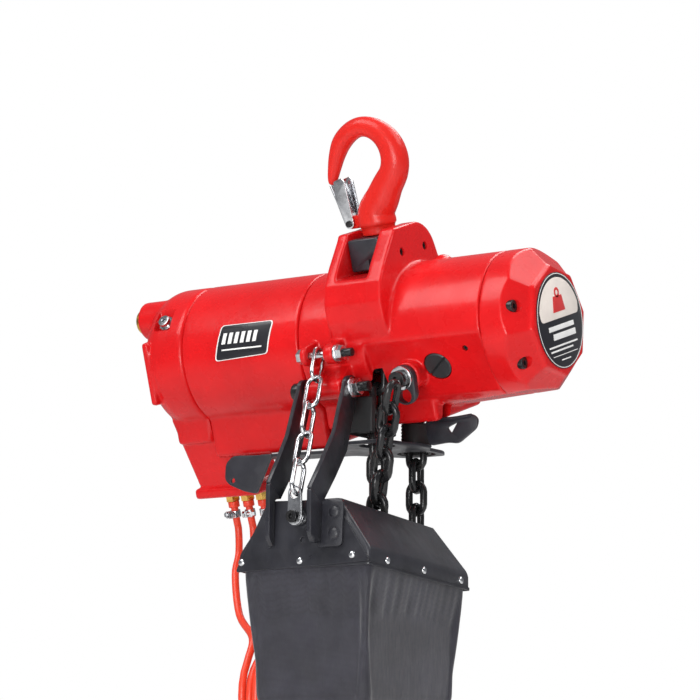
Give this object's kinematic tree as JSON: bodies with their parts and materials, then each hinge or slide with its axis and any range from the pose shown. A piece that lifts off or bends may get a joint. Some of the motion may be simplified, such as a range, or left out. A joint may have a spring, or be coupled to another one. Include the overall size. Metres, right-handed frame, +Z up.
{
  "type": "electric chain hoist",
  "caption": "Hook-mounted chain hoist with a horizontal motor and gear barrel, chain bag, limit bar, load hook and hose-fed pendant control.",
  "frame": {"origin": "the point of the top hook's bowl that rests on the beam fitting", "axes": "+Z up, +X along the barrel from the motor's air inlet to the gear end cap, -Y towards the chain bag's front"},
  "size_m": [0.4058, 0.2538, 0.6732],
  "materials": {
    "red_paint": "glossy red enamel on castings",
    "hook_paint": "semi-gloss red enamel on a forging",
    "black_paint": "semi-gloss black paint on plate",
    "dark_steel": "black oiled case-hardened steel",
    "zinc": "bright zinc plate",
    "steel": "machined steel",
    "brass": "turned brass",
    "bronze": "sintered bronze",
    "hose": "orange-red air hose",
    "rubber": "black rubber",
    "plastic": "black moulded plastic",
    "fabric": "coated woven bag cloth",
    "button": "yellow moulded lever",
    "chain_steel": "piled load chain, black oiled"
  },
  "bodies": {
    "hoist_body": {"air_inlet_bush": "brass", "anchor_bolt": "dark_steel", "anchor_chain": "dark_steel", "anchor_yoke": "black_paint", "bag_pin": "zinc", "centre_body": "red_paint", "end_cap": "red_paint", "hook_yoke": "black_paint", "hose_coil": "hose", "hose_drop_1": "hose", "hose_drop_2": "hose", "hose_drop_3": "hose", "hose_fitting_1": "brass", "hose_fitting_2": "brass", "hose_fitting_3": "brass", "limit_shaft": "dark_steel", "load_block": "black_paint", "load_chain": "dark_steel", "manifold_cover": "red_paint", "motor_end_plate_left": "dark_steel", "motor_end_plate_right": "dark_steel", "motor_housing": "red_paint", "motor_liner": "steel", "oil_plug": "zinc", "pendant_body": "plastic", "ring_gear": "steel", "rubber_bumper": "rubber", "sheave_bearing_left": "bronze", "sheave_bearing_right": "bronze", "stop_bolt": "zinc", "yoke_screw_1": "dark_steel", "yoke_screw_2": "dark_steel"},
    "top_hook_swivel": {"top_hook": "hook_paint", "hook_nut": "steel", "top_latch_pin": "dark_steel"},
    "top_latch_flap": {"top_latch": "zinc"},
    "bag": {"bag_hood": "black_paint", "chain_bag": "fabric", "chain_pile": "chain_steel", "bag_arm_left": "black_paint", "bag_arm_right": "black_paint", "chain_strap": "zinc"},
    "bag_chain": {"retaining_chain": "zinc"},
    "limit_bar": {"limit_lever": "black_paint"},
    "sheave": {"load_sheave": "dark_steel", "planet_carrier": "dark_steel"},
    "planet_1": {"planet_gear_1": "steel"},
    "planet_2": {"planet_gear_2": "steel"},
    "planet_3": {"planet_gear_3": "steel"},
    "rotor": {"motor_rotor": "steel", "rotor_vane_1": "plastic", "rotor_vane_2": "plastic", "rotor_vane_3": "plastic", "rotor_vane_4": "plastic"},
    "load_hook_swivel": {"load_hook": "hook_paint", "load_hook_nut": "steel", "load_latch_pin": "dark_steel"},
    "load_latch_flap": {"load_latch": "zinc"},
    "lever_up": {"pendant_lever_up": "button"},
    "lever_down": {"pendant_lever_down": "button"}
  },
  "joints": [
    {"name": "top_hook_turn", "type": "hinge", "parent": "hoist_body", "child": "top_hook_swivel", "pos_m": [0, 0.01622, -0.04993], "axis": [0, -0.309, 0.9511], "continuous": true},
    {"name": "top_latch_open", "type": "hinge", "parent": "top_hook_swivel", "child": "top_latch_flap", "pos_m": [-0.0235, 0.02194, -0.06753], "axis": [0, 0.9511, 0.309], "range_deg": [0, 26], "stiffness_Nm_per_rad": 0.05, "springref_deg": -11.46},
    {"name": "bag_swing", "type": "hinge", "parent": "hoist_body", "child": "bag", "pos_m": [0, -0.00869, -0.21406], "axis": [1, 0, 0], "range_deg": [-5, 0]},
    {"name": "bag_chain_swing", "type": "hinge", "parent": "hoist_body", "child": "bag_chain", "pos_m": [0, -0.01881, -0.18644], "axis": [1, 0, 0], "range_deg": [-5, 0.5]},
    {"name": "limit_trip", "type": "hinge", "parent": "hoist_body", "child": "limit_bar", "pos_m": [-0.035, 0.07293, -0.22445], "axis": [0, 0.9511, 0.309], "range_deg": [-5, 0], "stiffness_Nm_per_rad": 1.5, "springref_deg": 14.32},
    {"name": "sheave_turn", "type": "hinge", "parent": "hoist_body", "child": "sheave", "pos_m": [0, 0.05331, -0.16406], "axis": [1, 0, 0], "continuous": true},
    {"name": "planet_1_spin", "type": "hinge", "parent": "sheave", "child": "planet_1", "pos_m": [0.053, 0.07642, -0.15655], "axis": [1, 0, 0], "continuous": true},
    {"name": "planet_2_spin", "type": "hinge", "parent": "sheave", "child": "planet_2", "pos_m": [0.053, 0.03525, -0.1478], "axis": [1, 0, 0], "continuous": true},
    {"name": "planet_3_spin", "type": "hinge", "parent": "sheave", "child": "planet_3", "pos_m": [0.053, 0.04825, -0.18783], "axis": [1, 0, 0], "continuous": true},
    {"name": "rotor_spin", "type": "hinge", "parent": "hoist_body", "child": "rotor", "pos_m": [-0.12, 0.05331, -0.16406], "axis": [1, 0, 0], "continuous": true},
    {"name": "load_hook_turn", "type": "hinge", "parent": "hoist_body", "child": "load_hook_swivel", "pos_m": [0, 0.08441, -0.50446], "axis": [0, 0, 1], "continuous": true},
    {"name": "load_latch_open", "type": "hinge", "parent": "load_hook_swivel", "child": "load_latch_flap", "pos_m": [-0.0235, 0.08441, -0.51646], "axis": [0, -1, 0], "range_deg": [0, 26], "stiffness_Nm_per_rad": 0.05, "springref_deg": -11.46},
    {"name": "raise_press", "type": "hinge", "parent": "hoist_body", "child": "lever_up", "pos_m": [-0.13, 0.03081, -0.56206], "axis": [1, 0, 0], "range_deg": [0, 5], "stiffness_Nm_per_rad": 0.1, "springref_deg": -5.73},
    {"name": "lower_press", "type": "hinge", "parent": "hoist_body", "child": "lever_down", "pos_m": [-0.13, 0.03081, -0.61006], "axis": [1, 0, 0], "range_deg": [0, 5], "stiffness_Nm_per_rad": 0.1, "springref_deg": -5.73}
  ],
  "couplings": [
    {"joint": "planet_1_spin", "follows": "sheave_turn", "ratio": -2.5},
    {"joint": "planet_2_spin", "follows": "sheave_turn", "ratio": -2.5},
    {"joint": "planet_3_spin", "follows": "sheave_turn", "ratio": -2.5},
    {"joint": "rotor_spin", "follows": "sheave_turn", "ratio": 6},
    {"joint": "bag_chain_swing", "follows": "bag_swing", "ratio": 0.88}
  ]
}
